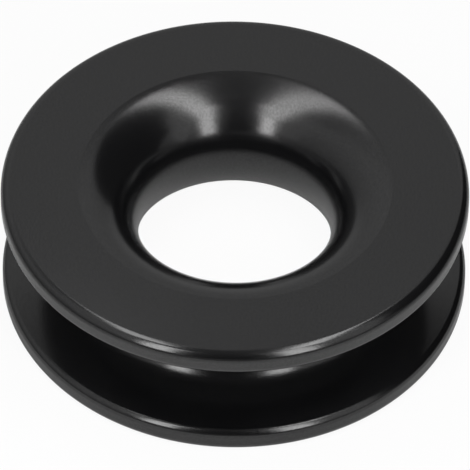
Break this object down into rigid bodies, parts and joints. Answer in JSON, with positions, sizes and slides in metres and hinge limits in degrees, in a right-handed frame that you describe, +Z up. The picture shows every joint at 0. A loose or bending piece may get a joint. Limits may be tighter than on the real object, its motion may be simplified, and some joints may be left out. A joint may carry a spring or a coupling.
{
  "type": "recovery ring",
  "caption": "One-piece turned aluminium recovery ring with a rope groove round the rim between two flanges and a bell-mouthed eye through the middle.",
  "frame": {"origin": "centre of the eye on the ring's lower flat face", "axes": "+Z up along the ring's axis, square to both flat faces; the ring is round, so X and Y lie anywhere across it"},
  "size_m": [0.121, 0.121, 0.036],
  "materials": {
    "black_anodised": "black anodised, satin"
  },
  "bodies": {
    "root": {"ring": "black_anodised"}
  },
  "joints": []
}
